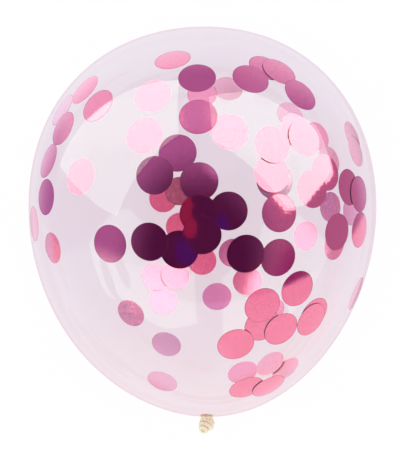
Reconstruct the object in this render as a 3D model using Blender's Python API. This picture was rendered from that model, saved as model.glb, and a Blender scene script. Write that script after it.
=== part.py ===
"""Confetti balloon: an inflated clear latex balloon, tied in an overhand knot and lying on its side.

Metres, +Z up. The balloon's axis runs along Y, with the crown towards +Y and the knot towards -Y.
The origin is the centre of the small flat spot that the balloon rests on, under its widest ring.
The skin is sealed, so it stands as one solid, knot and rolled lip included.
"""

import math

import bmesh
import bpy
from mathutils import Matrix, Vector

# Inflated body
BALLOON_DIAMETER = 0.300
CROWN_HEIGHT = 0.156  # from the widest ring to the crown
KNOT_END_DEPTH = 0.180  # from the widest ring to where the neck leaves the body
CROWN_FULLNESS = 2.15  # power of the superellipse: 2 is an ellipse, more is fuller
KNOT_END_FULLNESS = 1.93
CROWN_LEAN = 0.0018  # how far the crown sits to +X of the axis
KNOT_END_LEAN = 0.0056  # the same at the knot end, where the skin bulges to one side of the neck
LEAN_POWER = 5  # keeps the lean to the two ends
FLAT_SPOT_RADIUS = 0.022

# Neck and knot
NECK_SHIFT = 0.0037  # from the axis to the middle of the neck
NECK_RADIUS = 0.0050
NECK_SINK = 0.006  # how deep the neck's root starts inside the body
WRAP_COUNT = 3
WRAP_RADIUS = 0.0051  # centre line of the largest fold that goes round the knot
WRAP_THICKNESS = 0.0040
WRAP_PITCH = 0.0027  # from one fold to the next, along the tail
WRAP_SHRINK = 0.0006  # each fold away from the largest one is this much smaller
WRAP_TWIST = math.radians(14)  # from one fold to the next
CORE_RADIUS = 0.0049
KNOT_STAND_OFF = 0.0078  # from the end of the body to the middle of the knot

# Tail with its rolled lip, which points out of the knot
TAIL_DIRECTION = Vector((-0.42, -0.57, 0.71)).normalized()
TAIL_LENGTH = 0.0042
TAIL_RADIUS = 0.0035
LIP_RADIUS = 0.0033  # centre line of the rolled bead
LIP_THICKNESS = 0.0030

# Fineness of the faceted shape
BODY_SIDES = 64
BODY_RINGS = 40
FOLD_SIDES = 26
FOLD_SECTION_SIDES = 10
CORE_RINGS = 12

AXIS_HEIGHT = math.sqrt((BALLOON_DIAMETER / 2) ** 2 - FLAT_SPOT_RADIUS**2)
NECK_MIDDLE = Vector((NECK_SHIFT, -KNOT_END_DEPTH, AXIS_HEIGHT))
KNOT_MIDDLE = NECK_MIDDLE - Vector((0, KNOT_STAND_OFF, 0))


def clear_scene():
    for obj in list(bpy.data.objects):
        bpy.data.objects.remove(obj)


def latex_material():
    """Clear latex with a faint pink cast from the foil inside it."""
    material = bpy.data.materials.new("balloon_latex")
    material.use_nodes = True
    shader = material.node_tree.nodes["Principled BSDF"]
    shader.inputs["Base Color"].default_value = (0.80, 0.66, 0.74, 1)
    shader.inputs["Roughness"].default_value = 0.12
    shader.inputs["Metallic"].default_value = 0.0
    shader.inputs["Alpha"].default_value = 0.35
    return material


def skin_point(unit):
    """Where a point of a unit sphere with its pole on +Y lies on the inflated skin."""
    on_crown = unit.y >= 0
    height = CROWN_HEIGHT if on_crown else KNOT_END_DEPTH
    fullness = CROWN_FULLNESS if on_crown else KNOT_END_FULLNESS
    lean = CROWN_LEAN if on_crown else KNOT_END_LEAN
    across = math.hypot(unit.x, unit.z)
    radius = BALLOON_DIAMETER / 2 * across ** (2 / fullness)
    reach = abs(unit.y) ** (2 / fullness)
    spread = radius / across if across > 0 else 0
    return Vector(
        (
            unit.x * spread + lean * reach**LEAN_POWER,
            math.copysign(height * reach, unit.y),
            unit.z * spread + AXIS_HEIGHT,
        )
    )


def body_mesh():
    """The inflated skin, cut flat at the floor."""
    bm = bmesh.new()
    bmesh.ops.create_uvsphere(bm, u_segments=BODY_SIDES, v_segments=BODY_RINGS, radius=1)
    bmesh.ops.rotate(bm, verts=bm.verts, cent=(0, 0, 0), matrix=Matrix.Rotation(-math.pi / 2, 3, "X"))
    for vert in bm.verts:
        vert.co = skin_point(vert.co)
    everything = bm.verts[:] + bm.edges[:] + bm.faces[:]
    bmesh.ops.bisect_plane(bm, geom=everything, plane_co=(0, 0, 0), plane_no=(0, 0, -1), clear_outer=True)
    rim = [edge for edge in bm.edges if edge.is_boundary]
    bmesh.ops.edgeloop_fill(bm, edges=rim)
    bmesh.ops.recalc_face_normals(bm, faces=bm.faces)
    mesh = bpy.data.meshes.new("balloon")
    bm.to_mesh(mesh)
    bm.free()
    return mesh


def turned_to(direction):
    """The rotation that takes +Z to a direction."""
    return direction.to_track_quat("Z", "Y").to_euler()


def fold_ring(name, middle, direction, radius, thickness):
    """One round fold of latex, as a ring about a direction."""
    bpy.ops.mesh.primitive_torus_add(
        location=middle,
        rotation=turned_to(direction),
        major_segments=FOLD_SIDES,
        minor_segments=FOLD_SECTION_SIDES,
        major_radius=radius,
        minor_radius=thickness / 2,
    )
    bpy.context.object.name = name
    return bpy.context.object


def knot_wraps():
    """The folds that go round the knot, the largest in the middle, each turned a little from the last."""
    middle_wrap = (WRAP_COUNT - 1) / 2
    side = TAIL_DIRECTION.cross(Vector((0, 1, 0))).normalized()
    for i in range(WRAP_COUNT):
        step = i - middle_wrap
        direction = Matrix.Rotation(step * WRAP_TWIST, 3, side) @ TAIL_DIRECTION
        middle = KNOT_MIDDLE - TAIL_DIRECTION * step * WRAP_PITCH
        radius = WRAP_RADIUS - abs(step) * WRAP_SHRINK
        yield fold_ring(f"wrap_{i + 1}", middle, direction, radius, WRAP_THICKNESS)


def knot_core():
    """What the folds are pulled tight around."""
    bpy.ops.mesh.primitive_uv_sphere_add(
        segments=FOLD_SIDES, ring_count=CORE_RINGS, radius=CORE_RADIUS, location=KNOT_MIDDLE
    )
    bpy.context.object.name = "knot_core"
    return bpy.context.object


def round_bar(name, start, end, start_radius, end_radius):
    bpy.ops.mesh.primitive_cone_add(
        vertices=FOLD_SIDES,
        radius1=start_radius,
        radius2=end_radius,
        depth=(end - start).length,
        location=(start + end) / 2,
        rotation=turned_to(end - start),
    )
    bpy.context.object.name = name
    return bpy.context.object


def neck():
    root = NECK_MIDDLE + Vector((0, NECK_SINK, 0))
    return round_bar("neck", root, KNOT_MIDDLE, NECK_RADIUS + NECK_SINK / 2, NECK_RADIUS)


def tail_and_lip():
    """The short end that comes out of the knot, and the bead rolled on its rim."""
    front_wrap = WRAP_PITCH * (WRAP_COUNT - 1) / 2
    lip_middle = KNOT_MIDDLE + TAIL_DIRECTION * (front_wrap + TAIL_LENGTH)
    yield round_bar("tail", KNOT_MIDDLE, lip_middle, TAIL_RADIUS, TAIL_RADIUS)
    yield fold_ring("lip", lip_middle, TAIL_DIRECTION, LIP_RADIUS, LIP_THICKNESS)


def join(obj, other):
    """Joins another shape to an object, and leaves that shape as a hidden guide."""
    other.hide_render = True
    other.display_type = "WIRE"
    union = obj.modifiers.new(other.name, "BOOLEAN")
    union.operation = "UNION"
    union.object = other


def make_balloon():
    mesh = body_mesh()
    mesh.materials.append(latex_material())
    mesh.shade_smooth()
    mesh.set_sharp_from_angle(angle=math.radians(40))
    balloon = bpy.data.objects.new("balloon", mesh)
    bpy.context.scene.collection.objects.link(balloon)
    join(balloon, neck())
    join(balloon, knot_core())
    for wrap in knot_wraps():
        join(balloon, wrap)
    for piece in tail_and_lip():
        join(balloon, piece)


clear_scene()
make_balloon()
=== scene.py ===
"""Looks of the confetti balloon: its clear skin, its knot, the foil discs in it and the studio round it.

Metres, +Z up, in the part's own frame: the balloon lies on its side along Y, with the crown towards +Y.
The camera looks straight down on it, with the crown at the top of the picture.
"""

import math
from contextlib import contextmanager
from typing import NamedTuple

import bpy
from bpy.props import FloatProperty, FloatVectorProperty, IntProperty, PointerProperty
from bpy.types import Operator, Panel, PropertyGroup
from mathutils import Matrix, Vector, noise
from mathutils.bvhtree import BVHTree


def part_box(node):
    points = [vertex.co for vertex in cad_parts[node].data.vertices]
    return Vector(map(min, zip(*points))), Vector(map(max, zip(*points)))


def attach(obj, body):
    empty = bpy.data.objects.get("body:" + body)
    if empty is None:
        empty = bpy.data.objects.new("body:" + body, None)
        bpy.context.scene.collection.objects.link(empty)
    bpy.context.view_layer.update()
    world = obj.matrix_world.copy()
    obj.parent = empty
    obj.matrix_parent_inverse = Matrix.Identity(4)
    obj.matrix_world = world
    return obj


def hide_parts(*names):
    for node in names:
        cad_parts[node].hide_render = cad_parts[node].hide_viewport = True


bl_info = {
    "name": "Confetti balloon",
    "version": (1, 0, 0),
    "blender": (4, 5, 0),
    "location": "3D View > Sidebar > Balloon",
    "description": "Builds a clear balloon with foil confetti in it, on a plain white floor",
    "category": "Add Mesh",
}

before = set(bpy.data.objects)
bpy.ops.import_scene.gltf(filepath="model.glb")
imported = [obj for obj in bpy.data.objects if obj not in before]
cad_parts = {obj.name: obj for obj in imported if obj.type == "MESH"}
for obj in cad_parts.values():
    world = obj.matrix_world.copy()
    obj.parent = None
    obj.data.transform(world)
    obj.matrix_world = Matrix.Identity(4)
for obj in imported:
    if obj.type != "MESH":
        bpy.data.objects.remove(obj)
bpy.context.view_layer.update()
_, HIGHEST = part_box("balloon")
RADIUS = HIGHEST.x
AXIS_HEIGHT = HIGHEST.z - RADIUS

# The photo's own frame, in pixels
PHOTO_WIDTH = 407
PHOTO_HEIGHT = 460


class SkinSizes(PropertyGroup):
    """The inflated skin"""

    diameter: FloatProperty(
        name="Diameter", description="Across the widest ring", default=2 * RADIUS, unit="LENGTH", precision=4
    )
    crown_height: FloatProperty(
        name="Crown height",
        description="From the widest ring to the crown",
        default=HIGHEST.y,
        unit="LENGTH",
        precision=4,
    )
    knot_end_depth: FloatProperty(
        name="Knot end depth",
        description="From the widest ring to where the neck leaves the body",
        default=0.180,
        unit="LENGTH",
        precision=4,
    )
    crown_fullness: FloatProperty(
        name="Crown fullness", description="Power of the crown's superellipse, 2 for an ellipse", default=2.15
    )
    knot_end_fullness: FloatProperty(
        name="Knot end fullness", description="Power of the knot end's superellipse", default=1.93
    )
    crown_lean: FloatProperty(
        name="Crown lean",
        description="How far the crown sits to one side of the axis",
        default=0.0018,
        unit="LENGTH",
        precision=4,
    )
    knot_end_lean: FloatProperty(
        name="Knot end lean",
        description="How far the knot end sits to one side of the axis",
        default=0.0056,
        unit="LENGTH",
        precision=4,
    )
    lean_power: IntProperty(name="Lean power", description="Keeps the lean to the two ends", default=5)
    sides: IntProperty(name="Sides", description="Faces round the body", default=224)
    rings: IntProperty(name="Rings", description="Faces from the crown to the neck", default=150)
    # Partly painted light: besides the latex's own tint, these two film colours hold the pink light that the
    # foil throws into the skin
    film_colour: FloatVectorProperty(
        name="Film colour",
        description="What the clear latex scatters, with the foil's pink in it",
        default=(0.26, 0.03, 0.17),
        subtype="COLOR",
        min=0,
        max=1,
    )
    knot_film_colour: FloatVectorProperty(
        name="Film colour by the knot",
        description="The same where the latex is less stretched, towards the knot",
        default=(0.44, 0.01, 0.05),
        subtype="COLOR",
        min=0,
        max=1,
    )
    film_opacity: FloatProperty(
        name="Film opacity", description="How much one wall hides", default=0.20, subtype="FACTOR"
    )
    latex_colour: FloatVectorProperty(
        name="Latex colour",
        description="Latex that isn't stretched, at the neck and the knot",
        default=(0.86, 0.77, 0.58),
        subtype="COLOR",
        min=0,
        max=1,
    )
    # Painted shade: the latex's colour darkened for its creases
    latex_painted_shade_colour: FloatVectorProperty(
        name="Latex shade colour",
        description="The same latex in the creases",
        default=(0.60, 0.43, 0.22),
        subtype="COLOR",
        min=0,
        max=1,
    )


class KnotSizes(PropertyGroup):
    """The neck and the knot tied in it"""

    neck_shift: FloatProperty(
        name="Neck shift", description="From the axis to the neck", default=0.0037, unit="LENGTH", precision=4
    )
    neck_radius: FloatProperty(
        name="Neck radius",
        description="Where the neck meets the knot",
        default=0.0046,
        unit="LENGTH",
        precision=4,
    )
    neck_sink: FloatProperty(
        name="Neck sink",
        description="How deep the neck's root starts in the body",
        default=0.006,
        unit="LENGTH",
        precision=4,
    )
    pleats: IntProperty(name="Pleats", description="Gathers round the neck", default=9)
    stand_off: FloatProperty(
        name="Stand off",
        description="From the end of the body to the middle of the knot",
        default=0.0078,
        unit="LENGTH",
        precision=4,
    )
    core_radius: FloatProperty(
        name="Core radius", description="What the folds go round", default=0.0046, unit="LENGTH", precision=4
    )
    wraps: IntProperty(name="Wraps", description="Folds that go round the knot", default=3)
    wrap_radius: FloatProperty(
        name="Wrap radius",
        description="Middle line of the largest fold",
        default=0.0053,
        unit="LENGTH",
        precision=4,
    )
    wrap_thickness: FloatProperty(
        name="Wrap thickness", description="Across one fold", default=0.0034, unit="LENGTH", precision=4
    )
    wrap_pitch: FloatProperty(
        name="Wrap pitch", description="From one fold to the next", default=0.0028, unit="LENGTH", precision=4
    )
    tail_length: FloatProperty(
        name="Tail length",
        description="From the last fold to the lip",
        default=0.0042,
        unit="LENGTH",
        precision=4,
    )
    tail_radius: FloatProperty(
        name="Tail radius",
        description="Gathered latex behind the lip",
        default=0.0034,
        unit="LENGTH",
        precision=4,
    )
    lip_radius: FloatProperty(
        name="Lip radius",
        description="Middle line of the rolled bead",
        default=0.0031,
        unit="LENGTH",
        precision=4,
    )
    lip_thickness: FloatProperty(
        name="Lip thickness", description="Across the rolled bead", default=0.0028, unit="LENGTH", precision=4
    )
    voxel: FloatProperty(
        name="Voxel", description="Fineness of the joined knot", default=0.00032, unit="LENGTH", precision=5
    )


class ConfettiSizes(PropertyGroup):
    """The loose foil discs"""

    diameter: FloatProperty(
        name="Diameter", description="Of one disc", default=0.029, unit="LENGTH", precision=4
    )
    thickness: FloatProperty(
        name="Thickness", description="Of the foil", default=0.00010, unit="LENGTH", precision=5
    )
    wall_gap: FloatProperty(
        name="Wall gap", description="From a disc to the skin", default=0.00035, unit="LENGTH", precision=5
    )
    layer_gap: FloatProperty(
        name="Layer gap",
        description="From one disc to the next over it",
        default=0.0005,
        unit="LENGTH",
        precision=5,
    )
    sides: IntProperty(name="Sides", description="Round a disc", default=56)
    rings: IntProperty(name="Rings", description="From a disc's edge to its middle", default=8)
    edge_width: FloatProperty(
        name="Edge width",
        description="Of the punched edge, on the face",
        default=0.0004,
        unit="LENGTH",
        precision=5,
    )
    waviness: FloatProperty(
        name="Waviness",
        description="How far a disc's face strays from true",
        default=0.00003,
        unit="LENGTH",
        precision=5,
    )
    foil_colour: FloatVectorProperty(
        name="Foil colour",
        description="The pink metallised face",
        default=(0.98, 0.20, 0.285),
        subtype="COLOR",
        min=0,
        max=1,
    )
    # Partly painted light: paler and bluer than the outer face, for the haze of light from the skin in front
    # of the far discs, as well as a little dust
    back_colour: FloatVectorProperty(
        name="Back colour",
        description="The face turned to the inside of the balloon, a little dusty",
        default=(0.97, 0.245, 0.36),
        subtype="COLOR",
        min=0,
        max=1,
    )
    matte_colour: FloatVectorProperty(
        name="Matte colour",
        description="A face with no shine left, coral red",
        default=(0.98, 0.19, 0.31),
        subtype="COLOR",
        min=0,
        max=1,
    )
    # Painted light: a paler copy of the pink foil, for discs that show more light than the studio gives them
    pale_painted_light_colour: FloatVectorProperty(
        name="Pale colour",
        description="A face with a pearly bloom",
        default=(1.0, 0.45, 0.53),
        subtype="COLOR",
        min=0,
        max=1,
    )
    # Partly painted shade: the punched edge, darkened as the thin shade line round a disc
    edge_painted_shade_colour: FloatVectorProperty(
        name="Edge colour",
        description="The punched edge",
        default=(0.55, 0.09, 0.15),
        subtype="COLOR",
        min=0,
        max=1,
    )


class StudioSizes(PropertyGroup):
    """The camera, the floor and the lights"""

    camera_height: FloatProperty(
        name="Camera height", description="From the balloon's axis", default=0.95, unit="LENGTH"
    )
    camera_across: FloatProperty(
        name="Camera across",
        description="From the axis, towards +X",
        default=0.0009,
        unit="LENGTH",
        precision=4,
    )
    camera_along: FloatProperty(
        name="Camera along", description="From the widest ring", default=-0.0183, unit="LENGTH", precision=4
    )
    lens: FloatProperty(name="Lens", description="Focal length in millimetres", default=85.15)
    sensor: FloatProperty(name="Sensor", description="Height of the sensor in millimetres", default=36)
    floor_size: FloatProperty(name="Floor size", description="Side of the floor", default=16, unit="LENGTH")
    floor_drop: FloatProperty(
        name="Floor drop",
        description="From the flat spot down to the floor",
        default=0.0003,
        unit="LENGTH",
        precision=5,
    )
    floor_glow: FloatVectorProperty(
        name="Floor glow",
        description="Light of the floor itself, an even white with a breath of pink",
        default=(0.95, 0.895, 0.925),
        subtype="COLOR",
        min=0,
        max=2,
    )
    floor_white: FloatProperty(
        name="Floor white", description="How much light the floor scatters", default=0.10, subtype="FACTOR"
    )
    sky: FloatProperty(name="Sky", description="Brightness of the plain white round the stage", default=1.1)
    dome_radius: FloatProperty(
        name="Dome radius", description="Of the shell that the gloss mirrors", default=8, unit="LENGTH"
    )
    panel_radius: FloatProperty(
        name="Panel radius", description="From the balloon to the light panels", default=7, unit="LENGTH"
    )


class Spot(NamedTuple):
    """Where a disc lies: the photo's pixel that shows its middle, and how it sits on its wall."""

    column: float
    row: float
    wall: str = "near"
    layer: int = 0  # 0 is against the skin, and each number more is one disc further in
    tilt: float = 0.0  # degrees off the wall
    toward: float = 0.0  # where its shown face turns, as a bearing from +X in degrees
    hug: float = 0.8  # how closely it takes the wall's curve, 0 for flat
    finish: str = ""  # the look of its shown face if not its wall's usual one, "clean" for no painted shade line at its edge


# Some discs below take the paler foil with painted light in its colour
NEAR_WALL = (
    Spot(column=172, row=57, tilt=6, toward=100),
    Spot(column=197, row=77),
    Spot(column=251, row=78, hug=0.5, finish="creased"),
    Spot(column=267, row=66, layer=2),
    Spot(column=280, row=70, layer=1),
    Spot(column=301, row=94),
    Spot(column=198, row=116, tilt=1, toward=180, hug=0.5, finish="creased"),
    Spot(column=177, row=152, layer=3, tilt=1, toward=300),
    Spot(column=154, row=175, tilt=3, toward=270),
    Spot(column=199, row=181, layer=2, tilt=1.5, toward=95),
    Spot(column=229, row=211, layer=2),
    Spot(column=199, row=214, layer=1),
    Spot(column=202, row=235),
    Spot(column=179, row=250, layer=1),
    Spot(column=149, row=242),
    Spot(column=109, row=244, tilt=1.5, toward=90),
    Spot(column=246, row=254),
    Spot(column=279, row=258, layer=1),
    Spot(column=280, row=213, tilt=1.3, toward=45),
    Spot(column=298, row=289),
    Spot(column=263, row=306, tilt=1.5, toward=300),
    Spot(column=263, row=326, layer=2),
    Spot(column=282, row=330, layer=1),
    Spot(column=312, row=320),
    Spot(column=315, row=315, layer=1),
    Spot(column=236, row=345),
    Spot(column=247, row=389, layer=1),
    Spot(column=269, row=387),
    Spot(column=338, row=232),
    Spot(column=361, row=230, layer=1),
    Spot(column=350, row=187, layer=1),
    Spot(column=360, row=194),
    Spot(column=313, row=189, finish="clean"),
    Spot(column=327, row=172, layer=1, tilt=1, toward=150, finish="clean"),
    Spot(column=305, row=138, finish="clean"),
    Spot(column=298, row=130, layer=2, finish="clean"),
    Spot(column=273, row=144, finish="clean"),
    Spot(column=273, row=173, layer=1, tilt=2, toward=50, finish="clean"),
    Spot(column=277, row=180, layer=4, tilt=6, toward=200, finish="pale_painted_light"),
    Spot(column=230, row=131, layer=1, finish="clean"),
    Spot(column=152, row=95, tilt=1, toward=280, finish="clean"),
    Spot(column=144, row=135, finish="clean"),
    Spot(column=79, row=176, tilt=2, toward=60, finish="clean"),
    Spot(column=97, row=105),
    Spot(column=84, row=89, finish="clean"),
    Spot(column=62, row=128),
    Spot(column=46, row=160, tilt=5, toward=110),
    Spot(column=45, row=197),
    Spot(column=33, row=224, finish="pale_painted_light"),
    Spot(column=61, row=109, layer=1, finish="pale_painted_light"),
    Spot(column=357, row=294, finish="pale_painted_light"),
)

FAR_WALL = (
    Spot(column=130, row=314, wall="far", tilt=4, toward=45, finish="crumpled"),
    Spot(column=166, row=345, wall="far", tilt=2, toward=68, finish="pale_painted_light"),
    Spot(column=162, row=382, wall="far", finish="pale_painted_light"),
    Spot(column=217, row=297, wall="far", tilt=1.5, toward=10, hug=0.5),
    Spot(column=163, row=301, wall="far"),
    Spot(column=155, row=277, wall="far", layer=1),
    Spot(column=175, row=276, wall="far", tilt=3, toward=10),
    Spot(column=202, row=261, wall="far", finish="matte"),
    Spot(column=248, row=282, wall="far", tilt=9, toward=350),
    Spot(column=273, row=313, wall="far", tilt=8, toward=138),
    Spot(column=233, row=253, wall="far"),
    Spot(column=243, row=373, wall="far"),
    Spot(column=271, row=365, wall="far", layer=1, tilt=2, toward=200, finish="pale_painted_light"),
    Spot(column=286, row=370, wall="far", finish="pale_painted_light"),
    Spot(column=306, row=236, wall="far"),
    Spot(column=331, row=207, wall="far", finish="crumpled"),
    Spot(column=335, row=245, wall="far"),
    Spot(column=352, row=210, wall="far", finish="pale_painted_light"),
    Spot(column=163, row=198, wall="far", finish="matte"),
    Spot(column=179, row=191, wall="far", layer=1, tilt=2.5, toward=198, finish="crumpled"),
    Spot(column=228, row=88, wall="far", finish="pale_painted_light"),
    Spot(column=202, row=94, wall="far", layer=1),
    Spot(column=318, row=136, wall="far", tilt=0.5, toward=0),
    Spot(column=330, row=161, wall="far", layer=1, finish="pale_painted_light"),
    Spot(column=291, row=115, wall="far", tilt=3, toward=45, finish="pale_painted_light"),
    Spot(column=180, row=227, wall="far", finish="matte"),
    Spot(column=52, row=248, wall="far"),
    Spot(column=353, row=136, wall="far", finish="pale_painted_light"),
    Spot(column=357, row=151, wall="far", layer=1, finish="pale_painted_light"),
)


# An edge that turns by more than this stays sharp
SHARP_EDGE = math.radians(40)


def deselect_all():
    for obj in bpy.context.selected_objects:
        obj.select_set(False)


def make_active(obj):
    """Makes an object the only one selected, and the one that operators work on."""
    deselect_all()
    obj.select_set(True)
    bpy.context.view_layer.objects.active = obj


@contextmanager
def editing(obj):
    """Edit mode on one object, with all of its mesh selected."""
    make_active(obj)
    bpy.ops.object.mode_set(mode="EDIT")
    bpy.ops.mesh.select_all(action="SELECT")
    try:
        yield
    finally:
        bpy.ops.object.mode_set(mode="OBJECT")


def set_in_place(obj, name):
    """Names an object and puts its place, turn and scale into its mesh."""
    make_active(obj)
    bpy.ops.object.transform_apply(location=True, rotation=True, scale=True)
    obj.name = name
    obj.data.name = name
    return obj


def apply_modifier(obj, kind, **values):
    """Adds a modifier with these values and applies it."""
    make_active(obj)
    modifier = obj.modifiers.new(kind.title(), kind)
    for key, value in values.items():
        setattr(modifier, key, value)
    bpy.ops.object.modifier_apply(modifier=modifier.name)


def shade_smooth(obj):
    """Smooth shading, with the sharp edges kept."""
    make_active(obj)
    bpy.ops.object.shade_smooth_by_angle(angle=SHARP_EDGE)


def turned_to(direction):
    """The rotation that takes +Z to a direction."""
    return direction.to_track_quat("Z", "Y").to_euler()


def towards(tilt, bearing):
    """A unit direction, by its tilt from straight up and its bearing from +X, in degrees."""
    tilt, bearing = math.radians(tilt), math.radians(bearing)
    return Vector((math.sin(tilt) * math.cos(bearing), math.sin(tilt) * math.sin(bearing), math.cos(tilt)))


def new_material(name, **values):
    """A material with one Principled shader, its plain values given by input name."""
    material = bpy.data.materials.new(name)
    material.use_nodes = True
    shader = material.node_tree.nodes["Principled BSDF"]
    for key, value in values.items():
        socket = shader.inputs[key.replace("_", " ")]
        socket.default_value = (*value, 1) if socket.type == "RGBA" else value
    return material, material.node_tree.nodes, material.node_tree.links, shader


def grain(nodes, links, lumps, detail=3.0):
    """A noise that follows the object, with so many lumps to the metre."""
    place = nodes.new("ShaderNodeTexCoord")
    texture = nodes.new("ShaderNodeTexNoise")
    texture.inputs["Scale"].default_value = lumps
    texture.inputs["Detail"].default_value = detail
    links.new(place.outputs["Object"], texture.inputs["Vector"])
    return texture.outputs["Fac"]


def two_tones(nodes, links, value, low, high, edges=(0.35, 0.65)):
    """A value turned into a blend from one colour to another."""
    ramp = nodes.new("ShaderNodeValToRGB")
    for element, edge, colour in zip(ramp.color_ramp.elements, edges, (low, high)):
        element.position = edge
        element.color = (*colour, 1)
    links.new(value, ramp.inputs["Fac"])
    return ramp.outputs["Color"]


def between(nodes, links, value, low, high, edges=(0.3, 0.7)):
    """A value spread over a range, from low at the first edge to high at the second."""
    spread = nodes.new("ShaderNodeMapRange")
    spread.inputs["From Min"].default_value = edges[0]
    spread.inputs["From Max"].default_value = edges[1]
    spread.inputs["To Min"].default_value = low
    spread.inputs["To Max"].default_value = high
    links.new(value, spread.inputs["Value"])
    return spread.outputs["Result"]


def bumped(nodes, links, shader, value, depth, strength=1.0):
    """Uses a value as fine relief of that depth in metres."""
    bump = nodes.new("ShaderNodeBump")
    bump.inputs["Distance"].default_value = depth
    bump.inputs["Strength"].default_value = strength
    links.new(value, bump.inputs["Height"])
    links.new(bump.outputs["Normal"], shader.inputs["Normal"])


# Clouds to the metre in the film, how far they shift its change of colour, and where that is along Y
FILM_CLOUDS = 12
CLOUD_SHIFT = 0.07
FILM_CHANGE = (-0.15, 0.0)


def clear_film(skin):
    """Stretched latex: see-through and glossy, and cloudier and pinker towards the knot."""
    material, nodes, links, shader = new_material(
        "balloon_film",
        Alpha=skin.film_opacity,
        Roughness=0.03,
        IOR=2.4,
        Sheen_Weight=0.25,
        Sheen_Roughness=0.3,
        Sheen_Tint=(1.0, 0.36, 0.50),
    )
    place = nodes.new("ShaderNodeTexCoord")
    clouds = nodes.new("ShaderNodeVectorMath")
    clouds.operation = "MULTIPLY_ADD"
    clouds.inputs[1].default_value = (0, CLOUD_SHIFT, 0)
    links.new(grain(nodes, links, FILM_CLOUDS), clouds.inputs[0])
    links.new(place.outputs["Object"], clouds.inputs[2])
    axes = nodes.new("ShaderNodeSeparateXYZ")
    links.new(clouds.outputs["Vector"], axes.inputs["Vector"])
    to_knot = between(nodes, links, axes.outputs["Y"], 1, 0, edges=FILM_CHANGE)
    tones = two_tones(nodes, links, to_knot, skin.film_colour, skin.knot_film_colour, edges=(0, 1))
    links.new(tones, shader.inputs["Base Color"])
    bumped(nodes, links, shader, grain(nodes, links, lumps=30, detail=1), depth=0.00004)
    return material


# How pointed the latex is in a crease and on a ridge, between which the painted shade of the creases fades
CREASE_TO_RIDGE = (0.42, 0.52)


def plain_latex(skin):
    """Latex that isn't stretched: cream and soft, with painted shade darkening its creases."""
    material, nodes, links, shader = new_material(
        "balloon_latex", Roughness=0.42, Subsurface_Weight=0.25, Subsurface_Scale=0.002
    )
    # Painted shade in the creases, by how pointed the surface is
    geometry = nodes.new("ShaderNodeNewGeometry")
    tones = two_tones(
        nodes,
        links,
        geometry.outputs["Pointiness"],
        skin.latex_painted_shade_colour,
        skin.latex_colour,
        edges=CREASE_TO_RIDGE,
    )
    links.new(tones, shader.inputs["Base Color"])
    bumped(nodes, links, shader, grain(nodes, links, lumps=900), depth=0.00008, strength=0.5)
    return material


# The darkest and the lightest tone of the foil's grain, as shares of its colour
GRAIN_TONES = (0.76, 1.06)


def foil(name, colour, roughness=(0.03, 0.08), lumps=900, detail=4, relief=0.000010, strength=0.4, **values):
    """Pink film with a fine grain in its colour, its gloss and its relief."""
    material, nodes, links, shader = new_material(name, **values)
    fine = grain(nodes, links, lumps, detail)
    dark, light = (Vector(colour) * tone for tone in GRAIN_TONES)
    links.new(two_tones(nodes, links, fine, dark, light), shader.inputs["Base Color"])
    links.new(between(nodes, links, fine, *roughness), shader.inputs["Roughness"])
    bumped(nodes, links, shader, fine, relief, strength)
    return material


def foil_finishes(confetti):
    """Every look of the foil by name: bright, creased, crumpled, dusty with painted haze, worn matte, pale
    with painted light, and the cut edge with a painted shade line.
    """
    coat = {"Coat_Weight": 0.5, "Coat_Roughness": 0.06, "Coat_IOR": 1.5}
    sheen = {"Sheen_Weight": 0.4, "Sheen_Roughness": 0.25, "Sheen_Tint": (1.0, 0.85, 0.95)}
    dust = {"Sheen_Weight": 0.4, "Sheen_Roughness": 0.8, "Sheen_Tint": (0.90, 1.0, 0.95)}
    bloom = {"Sheen_Weight": 0.7, "Sheen_Roughness": 0.6, "Sheen_Tint": (1.0, 0.70, 0.75)}
    # Of these colours, the back's holds painted haze, the pale one painted light, and the cut edge's a
    # painted shade line
    pink, back = confetti.foil_colour, confetti.back_colour
    matte, pale_painted_light, cut_painted_shade = confetti.matte_colour, confetti.pale_painted_light_colour, confetti.edge_painted_shade_colour
    return {
        "bright": foil("confetti_foil", pink, Metallic=1.0, **coat, **sheen),
        "creased": foil(
            "confetti_creased",
            pink,
            roughness=(0.05, 0.13),
            lumps=1100,
            detail=6,
            relief=0.00015,
            strength=0.6,
            Metallic=1.0,
            **coat,
        ),
        "crumpled": foil(
            "confetti_crumpled",
            back,
            roughness=(0.12, 0.26),
            lumps=420,
            detail=6,
            relief=0.0005,
            strength=0.6,
            Metallic=1.0,
            **dust,
        ),
        # The inward face, whose colour holds painted haze light
        "dusty_painted_haze": foil("confetti_back", back, roughness=(0.12, 0.20), lumps=1100, Metallic=1.0, **dust),
        "matte": foil(
            "confetti_matte",
            matte,
            roughness=(0.20, 0.30),
            lumps=1100,
            Metallic=0.3,
            Specular_IOR_Level=0.3,
        ),
        # A paler copy of the foil, with painted light in its colour
        "pale_painted_light": foil("confetti_pale_painted_light", pale_painted_light, roughness=(0.15, 0.25), lumps=1100, Metallic=0.8, **bloom),
        # The punched edge, darkened as a painted shade line
        "cut_painted_shade": foil("confetti_edge_painted_shade", cut_painted_shade, roughness=(0.20, 0.30), lumps=2600, Metallic=1.0),
    }


def skin_point(unit, skin):
    """Where a point of a unit sphere with its pole on +Y lies on the inflated skin."""
    on_crown = unit.y >= 0
    height = skin.crown_height if on_crown else skin.knot_end_depth
    fullness = skin.crown_fullness if on_crown else skin.knot_end_fullness
    lean = skin.crown_lean if on_crown else skin.knot_end_lean
    across = math.hypot(unit.x, unit.z)
    radius = skin.diameter / 2 * across ** (2 / fullness)
    reach = abs(unit.y) ** (2 / fullness)
    spread = radius / across if across > 0 else 0
    return Vector(
        (
            unit.x * spread + lean * reach**skin.lean_power,
            math.copysign(height * reach, unit.y),
            unit.z * spread + AXIS_HEIGHT,
        )
    )


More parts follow.
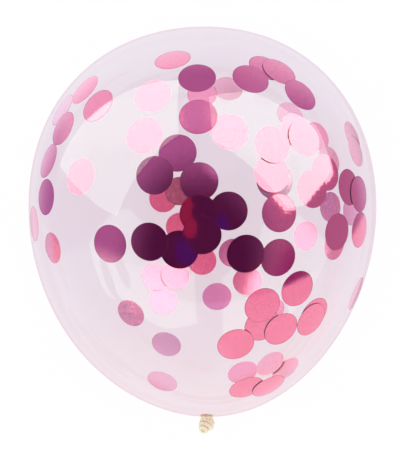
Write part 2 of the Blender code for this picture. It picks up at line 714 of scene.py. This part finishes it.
def inflated_body(skin):
    """A sphere reshaped ring by ring into the skin, and cut flat at the floor."""
    bpy.ops.mesh.primitive_uv_sphere_add(
        segments=skin.sides, ring_count=skin.rings, radius=1, rotation=(-math.pi / 2, 0, 0)
    )
    body = set_in_place(bpy.context.object, "balloon_body")
    for vert in body.data.vertices:
        vert.co = skin_point(vert.co, skin)
    with editing(body):
        bpy.ops.mesh.bisect(plane_co=(0, 0, 0), plane_no=(0, 0, 1), use_fill=True, clear_inner=True)
        bpy.ops.mesh.select_all(action="SELECT")
        bpy.ops.mesh.normals_make_consistent(inside=False)
    return body


def knot_middle(skin, knot):
    return Vector((knot.neck_shift, -skin.knot_end_depth - knot.stand_off, AXIS_HEIGHT))


# Depth of a pleat as a share of the neck, and how far it winds on the way, in radians of its own wave
PLEAT_DEPTH = 0.07
PLEAT_WIND = 2.5

# The way that the tail points, and how much each fold turns and shrinks away from the middle one
TAIL_DIRECTION = Vector((-0.42, -0.57, 0.71)).normalized()
WRAP_TWIST = math.radians(14)
WRAP_SHRINK = 0.0006

# Wrinkles to the metre in the knot's latex, and how far they stand up
COARSE_WRINKLES = 700
FINE_WRINKLES = 1500
WRINKLE_DEPTH = 0.00008


def gathered_neck(skin, knot):
    """The neck, drawn together into pleats that twist as they run into the knot."""
    start = Vector((knot.neck_shift, -skin.knot_end_depth + knot.neck_sink, AXIS_HEIGHT))
    end = knot_middle(skin, knot)
    length = (end - start).length
    bpy.ops.mesh.primitive_cylinder_add(vertices=96, radius=1, depth=1, location=(0, 0, 0.5))
    neck = set_in_place(bpy.context.object, "neck")
    with editing(neck):
        bpy.ops.mesh.subdivide(number_cuts=12)
    turn = (end - start).to_track_quat("Z", "Y").to_matrix()
    for vert in neck.data.vertices:
        along = vert.co.z
        around = math.atan2(vert.co.y, vert.co.x)
        flare = knot.neck_radius + knot.neck_sink / 2 * (1 - along) ** 2
        pleat = 1 + PLEAT_DEPTH * math.cos(knot.pleats * around + PLEAT_WIND * along)
        across = math.hypot(vert.co.x, vert.co.y) * flare * pleat
        place = Vector((across * math.cos(around), across * math.sin(around), along * length))
        vert.co = start + turn @ place
    return neck


def round_fold(name, middle, direction, radius, thickness):
    """One fold of latex, as a ring about a direction."""
    bpy.ops.mesh.primitive_torus_add(
        location=middle,
        rotation=turned_to(direction),
        major_segments=72,
        minor_segments=28,
        major_radius=radius,
        minor_radius=thickness / 2,
    )
    return set_in_place(bpy.context.object, name)


def tied_knot(skin, knot):
    """The neck, the folds round the knot, and the short tail with its rolled lip, grown together."""
    middle = knot_middle(skin, knot)
    parts = [gathered_neck(skin, knot)]
    bpy.ops.mesh.primitive_uv_sphere_add(segments=48, ring_count=24, radius=knot.core_radius, location=middle)
    parts.append(set_in_place(bpy.context.object, "core"))
    side = TAIL_DIRECTION.cross(Vector((0, 1, 0))).normalized()
    for i in range(knot.wraps):
        step = i - (knot.wraps - 1) / 2
        direction = Matrix.Rotation(step * WRAP_TWIST, 3, side) @ TAIL_DIRECTION
        place = middle - TAIL_DIRECTION * step * knot.wrap_pitch
        radius = knot.wrap_radius - abs(step) * WRAP_SHRINK
        parts.append(round_fold(f"wrap_{i + 1}", place, direction, radius, knot.wrap_thickness))
    lip_middle = middle + TAIL_DIRECTION * (knot.wrap_pitch * (knot.wraps - 1) / 2 + knot.tail_length)
    tail = lip_middle - middle
    bpy.ops.mesh.primitive_cylinder_add(
        vertices=48,
        radius=knot.tail_radius,
        depth=tail.length,
        location=middle + tail / 2,
        rotation=turned_to(tail),
    )
    parts.append(set_in_place(bpy.context.object, "tail"))
    parts.append(round_fold("lip", lip_middle, TAIL_DIRECTION, knot.lip_radius, knot.lip_thickness))
    deselect_all()
    for part in parts:
        part.select_set(True)
    bpy.context.view_layer.objects.active = parts[0]
    bpy.ops.object.join()
    tied = bpy.context.object
    apply_modifier(tied, "REMESH", mode="VOXEL", voxel_size=knot.voxel)
    apply_modifier(tied, "SMOOTH", factor=0.5, iterations=4)
    for vert in tied.data.vertices:
        wrinkle = noise.noise(vert.co * COARSE_WRINKLES) + noise.noise(vert.co * FINE_WRINKLES) / 2
        vert.co += vert.normal * wrinkle * WRINKLE_DEPTH
    return tied


# The skin's two materials, in their order on it
FILM, LATEX = range(2)


class OBJECT_OT_balloon_skin(Operator):
    """Builds the balloon's skin: the clear body with the neck, knot and rolled lip that it is moulded with"""

    bl_idname = "object.balloon_skin"
    bl_label = "Balloon Skin"

    def execute(self, context):
        skin = context.scene.balloon_skin
        knot = context.scene.balloon_knot
        deselect_all()
        body = inflated_body(skin)
        tied = tied_knot(skin, knot)
        latexes = (clear_film(skin), plain_latex(skin))
        for obj, look in ((body, FILM), (tied, LATEX)):
            obj.data.materials.clear()
            for material in latexes:
                obj.data.materials.append(material)
            for face in obj.data.polygons:
                face.material_index = look
        apply_modifier(body, "BOOLEAN", operation="UNION", object=tied)
        bpy.data.objects.remove(tied)
        body.name = "balloon_skin"
        body.data.name = "balloon_skin"
        shade_smooth(body)
        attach(body, "root")
        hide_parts("balloon")
        return {"FINISHED"}


def camera_place(studio):
    return Vector((studio.camera_across, studio.camera_along, AXIS_HEIGHT + studio.camera_height))


def sight_line(spot, studio):
    """The direction in which the camera sees a pixel of the photo."""
    pixels = studio.lens / studio.sensor * PHOTO_HEIGHT
    across = (spot.column - PHOTO_WIDTH / 2) / pixels
    up = (PHOTO_HEIGHT / 2 - spot.row) / pixels
    return Vector((across, up, -1)).normalized()


# How far a sight line goes on past the near wall before it looks for the far one
PAST_NEAR_WALL = 0.002


def wall_point(spot, studio, walls):
    """Where the sight line meets the near or the far wall, and the way out of the balloon there."""
    start = camera_place(studio)
    direction = sight_line(spot, studio)
    place, normal, _, _ = walls.ray_cast(start, direction)
    if spot.wall == "far":
        place, normal, _, _ = walls.ray_cast(place + direction * PAST_NEAR_WALL, direction)
    return place, normal


def disc_pattern(confetti):
    """One flat disc in rings, with its thickness, to be copied."""
    radius = confetti.diameter / 2
    bpy.ops.mesh.primitive_circle_add(vertices=confetti.sides, radius=radius, fill_type="NGON")
    disc = bpy.context.object
    with editing(disc):
        bpy.ops.mesh.inset(thickness=confetti.edge_width)
        for _ in range(confetti.rings - 1):
            bpy.ops.mesh.inset(thickness=radius / confetti.rings)
        bpy.ops.mesh.poke()
    apply_modifier(disc, "SOLIDIFY", thickness=confetti.thickness, offset=0)
    shade_smooth(disc)
    return disc


# A disc's three materials, in their order on it
FRONT_FACE, BACK_FACE, EDGE = range(3)


def finish_faces(disc, front, back, edge, confetti):
    """One look outwards, one inwards, and the punched edge between them."""
    for material in (front, back, edge):
        disc.data.materials.append(material)
    edge_start = confetti.diameter / 2 - confetti.edge_width
    for face in disc.data.polygons:
        if face.center.to_2d().length > edge_start:
            face.material_index = EDGE
        else:
            face.material_index = FRONT_FACE if face.normal.z > 0 else BACK_FACE


# From a disc's plane out past the skin, for the ray that finds the skin over it
REACH = 0.04

# Waves to the metre in a disc, and how far apart two discs' waves are drawn
WAVES = 110
WAVE_STEPS = (3.1, 1.7, 0)


def lay_disc(disc, spot, number, confetti, studio, walls):
    """Bends a copy of the disc onto its wall, inside the skin."""
    place, outward = wall_point(spot, studio, walls)
    across = Vector((0, 1, 0)).cross(outward).normalized()
    along = outward.cross(across)
    radius = confetti.diameter / 2
    inward = confetti.wall_gap + confetti.layer_gap * spot.layer
    lift = math.tan(math.radians(spot.tilt))
    turned = towards(90, spot.toward) * (1 if spot.wall == "near" else -1)
    side = Vector((turned.dot(across), turned.dot(along))).normalized()
    seed = Vector([number * step for step in WAVE_STEPS])
    flat_depth = radius**2 / RADIUS / 2  # how far the wall curves away from the rim of a flat disc
    for vert in disc.data.vertices:
        u, v, w = vert.co
        over = place + across * u + along * v
        hit, normal, _, _ = walls.ray_cast(over + outward * REACH, -outward)
        if hit is None:
            hit, normal, _, _ = walls.find_nearest(over)
        hit = hit.lerp(over - outward * flat_depth, 1 - spot.hug)
        wave = confetti.waviness * noise.noise(seed + Vector((u, v, 0)) * WAVES)
        depth = inward + lift * (radius + u * side.x + v * side.y) + abs(wave)
        vert.co = hit - normal * (depth - w)


class OBJECT_OT_balloon_confetti(Operator):
    """Lays the foil discs against the inside of the skin, where the photo shows them"""

    bl_idname = "object.balloon_confetti"
    bl_label = "Foil Confetti"

    def execute(self, context):
        confetti = context.scene.balloon_confetti
        studio = context.scene.balloon_studio
        walls = BVHTree.FromObject(bpy.data.objects["balloon_skin"], context.evaluated_depsgraph_get())
        deselect_all()
        pattern = disc_pattern(confetti)
        finishes = foil_finishes(confetti)
        for number, spot in enumerate(NEAR_WALL + FAR_WALL, start=1):
            disc = pattern.copy()
            disc.data = pattern.data.copy()
            disc.name = f"confetti_{number:02d}"
            disc.data.name = disc.name
            context.scene.collection.objects.link(disc)
            # By default the inward faces take the painted haze light and the edges the painted shade line
            front, back, edge = "bright", "dusty_painted_haze", "cut_painted_shade"
            if spot.wall == "far":
                back = edge = spot.finish or back
            elif spot.finish == "clean":
                edge = front
            else:
                front = spot.finish or front
            finish_faces(disc, finishes[front], finishes[back], finishes[edge], confetti)
            lay_disc(disc, spot, number, confetti, studio, walls)
            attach(disc, "root")
        bpy.data.objects.remove(pattern)
        return {"FINISHED"}


def facing(nodes, links, mirrored, direction, low, high):
    """How far the mirrored direction turns to a given one, smoothly from 0 at low to 1 at high."""
    dot = nodes.new("ShaderNodeVectorMath")
    dot.operation = "DOT_PRODUCT"
    dot.inputs[1].default_value = direction
    links.new(mirrored, dot.inputs[0])
    step = nodes.new("ShaderNodeMapRange")
    step.interpolation_type = "SMOOTHSTEP"
    step.inputs["From Min"].default_value = low
    step.inputs["From Max"].default_value = high
    links.new(dot.outputs["Value"], step.inputs["Value"])
    return step.outputs["Result"]


# A Mix node's colour sockets, which go by number because its number sockets have the same names
MIX_SHARE, MIX_UNDER, MIX_OVER, MIX_RESULT = 0, 6, 7, 2


def blend_to(nodes, links, under, over, share):
    """Blends a colour, or the colour so far, into another by a share."""
    mix = nodes.new("ShaderNodeMix")
    mix.data_type = "RGBA"
    if isinstance(under, tuple):
        mix.inputs[MIX_UNDER].default_value = (*under, 1)
    else:
        links.new(under, mix.inputs[MIX_UNDER])
    mix.inputs[MIX_OVER].default_value = (*over, 1)
    links.new(share, mix.inputs[MIX_SHARE])
    return mix.outputs[MIX_RESULT]


def glow_material(name):
    """A material that only glows, and whose Emission node is returned for its colour."""
    material = bpy.data.materials.new(name)
    material.use_nodes = True
    material.cycles.emission_sampling = "NONE"
    nodes, links = material.node_tree.nodes, material.node_tree.links
    nodes.clear()
    glow = nodes.new("ShaderNodeEmission")
    out = nodes.new("ShaderNodeOutputMaterial")
    links.new(glow.outputs["Emission"], out.inputs["Surface"])
    return material, nodes, links, glow


# Colours and strengths of the studio's lights, as linear red, green and blue
ROOM_LIGHT = (0.53, 0.47, 1.00)
OVERHEAD_DARK = (0.01, 0.0, 0.03)
LOW_LIGHT = (1.25, 1.63, 1.93)
CROWN_LOW_LIGHT = (1.38, 1.95, 2.15)
UNDER_DARK = (0.42, 0.35, 0.45)
FRONT_LIGHT = (1.27, 1.26, 1.52)
FRONT_FLOOR_LIGHT = (1.34, 1.50, 1.68)
PANEL_LIGHT = (3.6, 4.5, 4.0)
PANEL_END_LIGHT = (3.0, 3.95, 3.5)
RIGHT_WALL_LIGHT = (0.57, 0.46, 0.78)
CROWN_RIGHT_LIGHT = (1.3, 1.6, 2.0)
GAP_LIGHT = (0.82, 0.88, 1.48)
LEFT_FRONT_LIGHT = (1.38, 1.85, 2.05)
CORNER_DARK = (0.30, 0.05, 0.35)
RED_GLINT = (0.30, 0.03, 0.08)
BLUE_GLINT = (0.0, 0.0, 0.27)


class LightZone(NamedTuple):
    """One soft patch of light or dark, all round a direction from the balloon."""

    light: tuple
    middle: Vector
    rim: float  # where it starts, as the cosine of the angle from its middle
    heart: float  # where it is full, in the same way, and over 1 for a patch that never is


def mirrored_direction(nodes, links):
    """The direction from the middle of the studio to the point that glows."""
    place = nodes.new("ShaderNodeTexCoord")
    unit = nodes.new("ShaderNodeVectorMath")
    unit.operation = "NORMALIZE"
    links.new(place.outputs["Object"], unit.inputs[0])
    return unit.outputs["Vector"]


def dome_material():
    """The studio as the gloss sees it: dark overhead, light from the floor and from the knot's side."""
    material, nodes, links, glow = glow_material("studio_dome")
    direction = mirrored_direction(nodes, links)
    knot_floor = Vector((0, -0.88, -0.475))
    crown_floor = Vector((0, 0.5, -0.866))
    straight_down = Vector((0, 0, -1))
    zones = (
        LightZone(RIGHT_WALL_LIGHT, towards(85, 350), 0.55, 0.85),
        LightZone(OVERHEAD_DARK, towards(25, 265), 0.56, 0.90),
        LightZone(CORNER_DARK, towards(68, 332), 0.95, 1.01),
        LightZone(GAP_LIGHT, towards(52, 95), 0.97, 0.99),
        LightZone(GAP_LIGHT, towards(30, 68), 0.965, 0.99),
        LightZone(LOW_LIGHT, crown_floor, 0.35, 0.90),
        LightZone(CROWN_LOW_LIGHT, towards(118, 115), 0.80, 0.96),
        LightZone(CROWN_RIGHT_LIGHT, towards(97, 62), 0.90, 1.15),
        LightZone(LOW_LIGHT, towards(98, 143), 0.88, 0.99),
        LightZone(FRONT_LIGHT, knot_floor, 0.29, 0.33),
        LightZone(FRONT_FLOOR_LIGHT, knot_floor, 0.35, 0.60),
        LightZone(LEFT_FRONT_LIGHT, towards(91, 239), 0.64, 0.76),
        LightZone(UNDER_DARK, straight_down, 0.82, 0.94),
        LightZone(UNDER_DARK, towards(160, 10), 0.94, 0.98),
        LightZone(RED_GLINT, towards(9, 178), 0.996, 0.999),
        LightZone(RED_GLINT, towards(10, 208), 0.997, 0.999),
        LightZone(RED_GLINT, towards(13, 238), 0.996, 0.999),
        LightZone(BLUE_GLINT, towards(24, 243), 0.992, 0.998),
        LightZone(BLUE_GLINT, towards(14, 325), 0.994, 0.999),
    )
    colour = ROOM_LIGHT
    for zone in zones:
        share = facing(nodes, links, direction, zone.middle, zone.rim, zone.heart)
        colour = blend_to(nodes, links, colour, zone.light, share)
    links.new(colour, glow.inputs["Color"])
    return material


def only_in_gloss(obj):
    """Lets only mirrored rays see an object, so that it neither shows nor shades."""
    for kind in ("camera", "diffuse", "transmission", "volume_scatter", "shadow"):
        setattr(obj, f"visible_{kind}", False)


# Corners of the two panels, each a tilt from straight up and a bearing from +X, in degrees
LEFT_PANEL = ((107, 166), (91.5, 134), (78.5, 101.5), (40.0, 111.5), (55.0, 184.5))
RIGHT_PANEL = ((63, 86), (75, 64), (80, 44), (93, 32), (92, 13), (65, 1), (54, 0), (46, 8), (34, 80))

# A panel brightens towards the crown, between these cosines of the angle from it
CROWN_SIDE = Vector((0, 1, 0))
PANEL_FADE = (0.0, 0.8)


def light_panel(name, corners, studio):
    """A panel of light between some directions from the balloon, brightest towards the crown."""
    bpy.ops.mesh.primitive_circle_add(vertices=len(corners), fill_type="NGON")
    panel = bpy.context.object
    for vert, (tilt, bearing) in zip(panel.data.vertices, corners):
        vert.co = towards(tilt, bearing) * studio.panel_radius
    panel.location.z = AXIS_HEIGHT
    panel.name = name
    material, nodes, links, glow = glow_material(name)
    share = facing(nodes, links, mirrored_direction(nodes, links), CROWN_SIDE, *PANEL_FADE)
    links.new(blend_to(nodes, links, PANEL_END_LIGHT, PANEL_LIGHT, share), glow.inputs["Color"])
    panel.data.materials.append(material)
    only_in_gloss(panel)


def studio_dome(studio):
    bpy.ops.mesh.primitive_uv_sphere_add(segments=48, ring_count=24, radius=studio.dome_radius)
    dome = bpy.context.object
    dome.name = "studio_dome"
    dome.location.z = AXIS_HEIGHT
    dome.data.materials.append(dome_material())
    only_in_gloss(dome)


def plain_floor(studio):
    bpy.ops.mesh.primitive_plane_add(size=studio.floor_size, location=(0, 0, -studio.floor_drop))
    floor = bpy.context.object
    floor.name = "floor"
    material, *_ = new_material(
        "floor_white",
        Base_Color=[studio.floor_white] * 3,
        Roughness=1.0,
        Specular_IOR_Level=0.0,
        Emission_Color=studio.floor_glow,
        Emission_Strength=1.0,
    )
    material.cycles.emission_sampling = "NONE"
    floor.data.materials.append(material)
    floor.visible_glossy = False


def plain_sky(studio):
    world = bpy.data.worlds.new("plain_white")
    world.use_nodes = True
    background = world.node_tree.nodes["Background"]
    background.inputs["Color"].default_value = (1, 1, 1, 1)
    background.inputs["Strength"].default_value = studio.sky
    bpy.context.scene.world = world


class OBJECT_OT_balloon_stage(Operator):
    """Sets up the camera, the floor, the light panels and the dome round them"""

    bl_idname = "object.balloon_stage"
    bl_label = "Stage"

    def execute(self, context):
        studio = context.scene.balloon_studio
        deselect_all()
        bpy.ops.object.camera_add(location=camera_place(studio), rotation=(0, 0, 0))
        camera = bpy.context.object
        camera.name = "photo_camera"
        camera.data.sensor_fit = "VERTICAL"
        camera.data.sensor_height = studio.sensor
        camera.data.lens = studio.lens
        context.scene.camera = camera
        plain_floor(studio)
        studio_dome(studio)
        light_panel("left_panel", LEFT_PANEL, studio)
        light_panel("right_panel", RIGHT_PANEL, studio)
        plain_sky(studio)
        context.scene.view_settings.view_transform = "Standard"
        return {"FINISHED"}


class VIEW3D_PT_balloon(Panel):
    """Lists the balloon's pieces and their sizes"""

    bl_idname = "VIEW3D_PT_balloon"
    bl_label = "Confetti Balloon"
    bl_space_type = "VIEW_3D"
    bl_region_type = "UI"
    bl_category = "Balloon"

    def draw(self, context):
        for operator, groups in PIECES:
            self.layout.operator(operator.bl_idname)
            for group in groups:
                box = self.layout.box()
                settings = getattr(context.scene, group)
                for name in settings.__annotations__:
                    box.prop(settings, name)


PIECES = (
    (OBJECT_OT_balloon_skin, ("balloon_skin", "balloon_knot")),
    (OBJECT_OT_balloon_confetti, ("balloon_confetti",)),
    (OBJECT_OT_balloon_stage, ("balloon_studio",)),
)
SETTINGS = {
    "balloon_skin": SkinSizes,
    "balloon_knot": KnotSizes,
    "balloon_confetti": ConfettiSizes,
    "balloon_studio": StudioSizes,
}
CLASSES = (*SETTINGS.values(), *(operator for operator, _ in PIECES), VIEW3D_PT_balloon)


def register():
    for cls in CLASSES:
        bpy.utils.register_class(cls)
    for name, group in SETTINGS.items():
        setattr(bpy.types.Scene, name, PointerProperty(type=group))


def unregister():
    for name in SETTINGS:
        delattr(bpy.types.Scene, name)
    for cls in reversed(CLASSES):
        bpy.utils.unregister_class(cls)


def main():
    register()
    bpy.ops.object.balloon_skin()
    bpy.ops.object.balloon_confetti()
    bpy.ops.object.balloon_stage()


if __name__ == "__main__":
    main()
